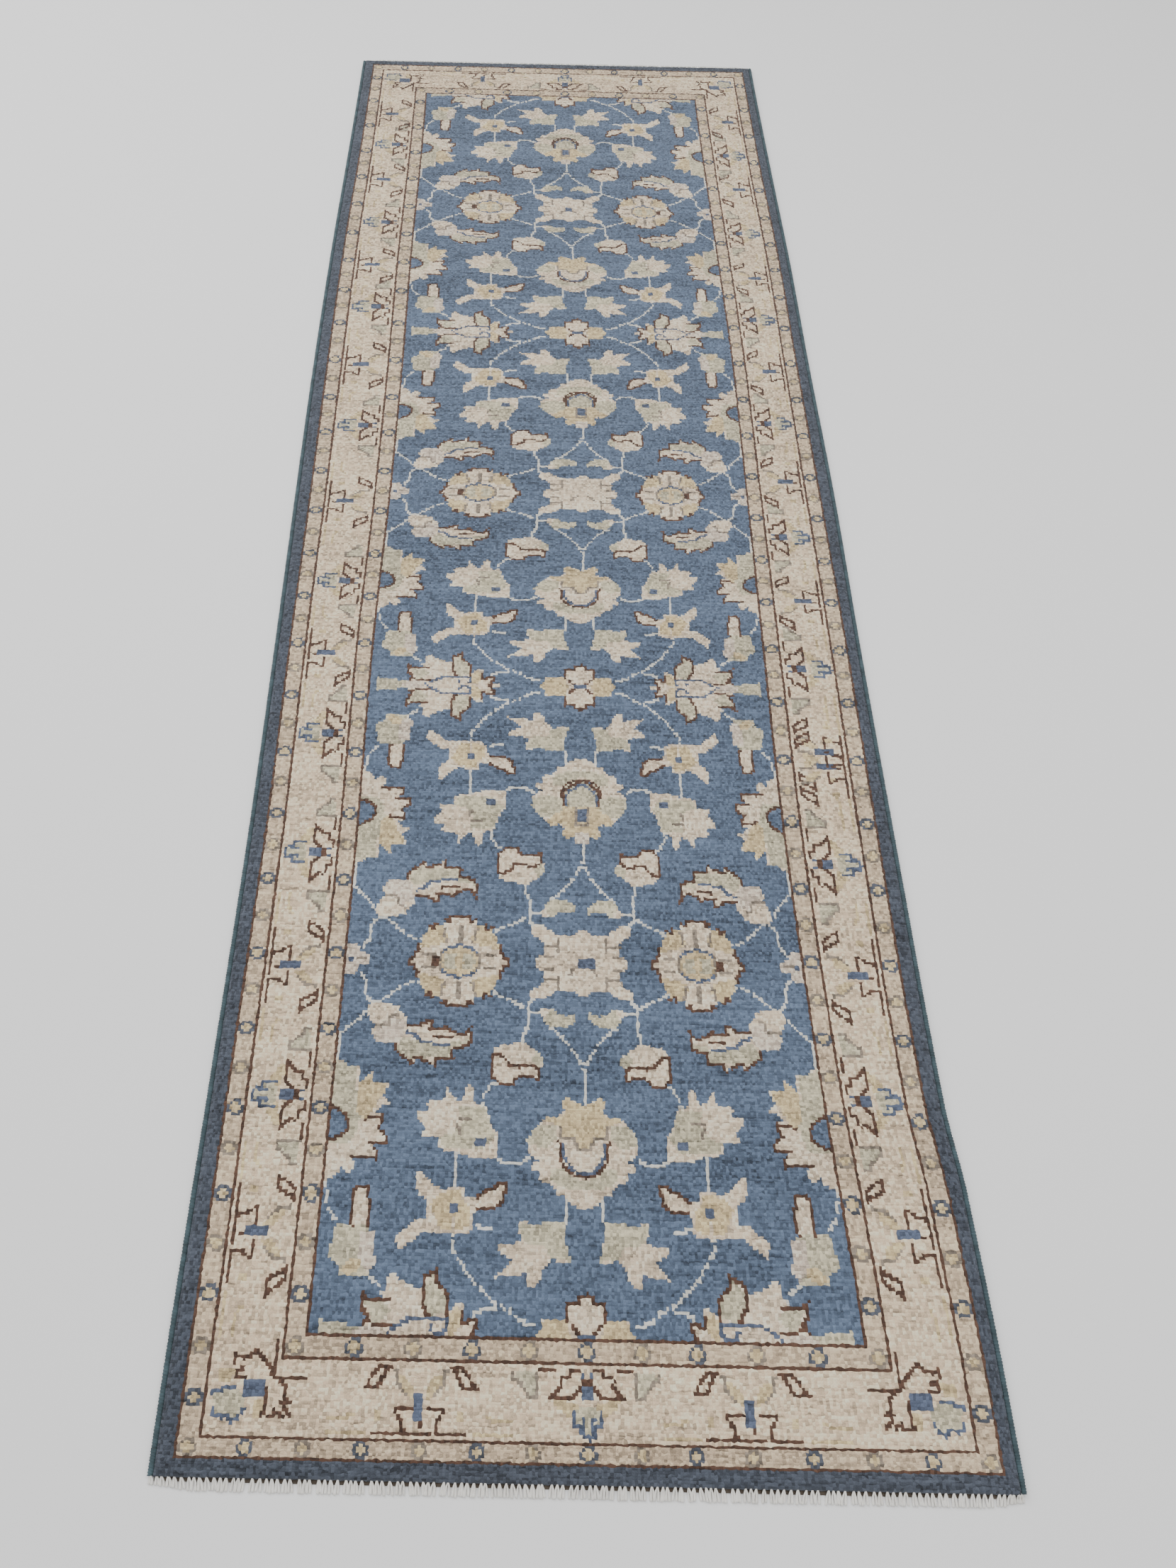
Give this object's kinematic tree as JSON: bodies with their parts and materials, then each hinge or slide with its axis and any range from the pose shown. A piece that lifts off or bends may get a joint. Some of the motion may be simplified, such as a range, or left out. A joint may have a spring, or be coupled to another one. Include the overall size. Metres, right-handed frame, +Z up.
{
  "type": "runner rug",
  "caption": "Runner rug with a flat knotted wool pile: flowered blue field, ivory border between guard stripes, wrapped selvedges and a short cotton fringe.",
  "frame": {"origin": "under the middle of the rug, on the surface it lies on", "axes": "+X across the rug to the right, +Y along it to the far end, +Z up out of the pile"},
  "size_m": [0.8228, 2.6116, 0.009],
  "materials": {
    "cotton_weave": "undyed cotton, matt",
    "cotton_cord": "undyed cotton cord, matt",
    "cotton_fringe": "bleached cotton warp ends, matt",
    "selvedge_wool": "dark blue-green wool overcast, soft sheen",
    "band_wool": "slate-blue wool pile, soft sheen",
    "brown_wool": "dark brown wool pile, soft sheen",
    "guard_wool": "beige wool pile, soft sheen",
    "border_wool": "ivory wool pile, soft sheen",
    "ring_wool": "gold and slate wool pile, soft sheen",
    "field_wool": "blue wool pile with abrash, soft sheen",
    "slate_wool": "mid-blue wool pile, soft sheen",
    "ivory_wool": "ivory wool pile, soft sheen",
    "gold_wool": "pale gold wool pile, soft sheen",
    "sage_wool": "sage wool pile, soft sheen",
    "rose_wool": "rose-beige wool pile, soft sheen"
  },
  "bodies": {
    "root": {"foundation_weave": "cotton_weave", "selvedge_cord_left": "cotton_cord", "selvedge_cord_right": "cotton_cord", "selvedge_wrap_left": "selvedge_wool", "selvedge_wrap_right": "selvedge_wool", "end_weave_near": "cotton_weave", "end_weave_far": "cotton_weave", "fringe_near": "cotton_fringe", "fringe_far": "cotton_fringe", "outer_band_pile": "band_wool", "band_edge_line": "brown_wool", "outer_guard_pile": "guard_wool", "outer_guard_rings": "ring_wool", "outer_border_line": "brown_wool", "main_border_pile": "border_wool", "border_lily_stems": "slate_wool", "border_lily_petals": "gold_wool", "border_palmette_hearts": "slate_wool", "border_palmette_petals": "gold_wool", "corner_rosettes": "sage_wool", "corner_squares": "slate_wool", "inner_border_line": "brown_wool", "inner_guard_pile": "guard_wool", "inner_guard_rings": "ring_wool", "field_edge_line": "brown_wool", "field_pile": "field_wool", "star_rosettes": "ivory_wool", "round_rosettes": "gold_wool", "small_rosettes": "gold_wool", "palmettes": "ivory_wool", "edge_palmettes": "sage_wool", "edge_palmette_eyes": "slate_wool", "edge_flowers": "rose_wool", "lotus_flowers": "ivory_wool", "fan_leaves": "sage_wool", "cross_flowers": "ivory_wool", "leaf_pairs": "sage_wool", "vase_flowers": "sage_wool", "tulips": "ivory_wool", "sickle_leaves": "ivory_wool", "small_leaves": "sage_wool", "flower_hearts": "slate_wool"}
  },
  "joints": []
}
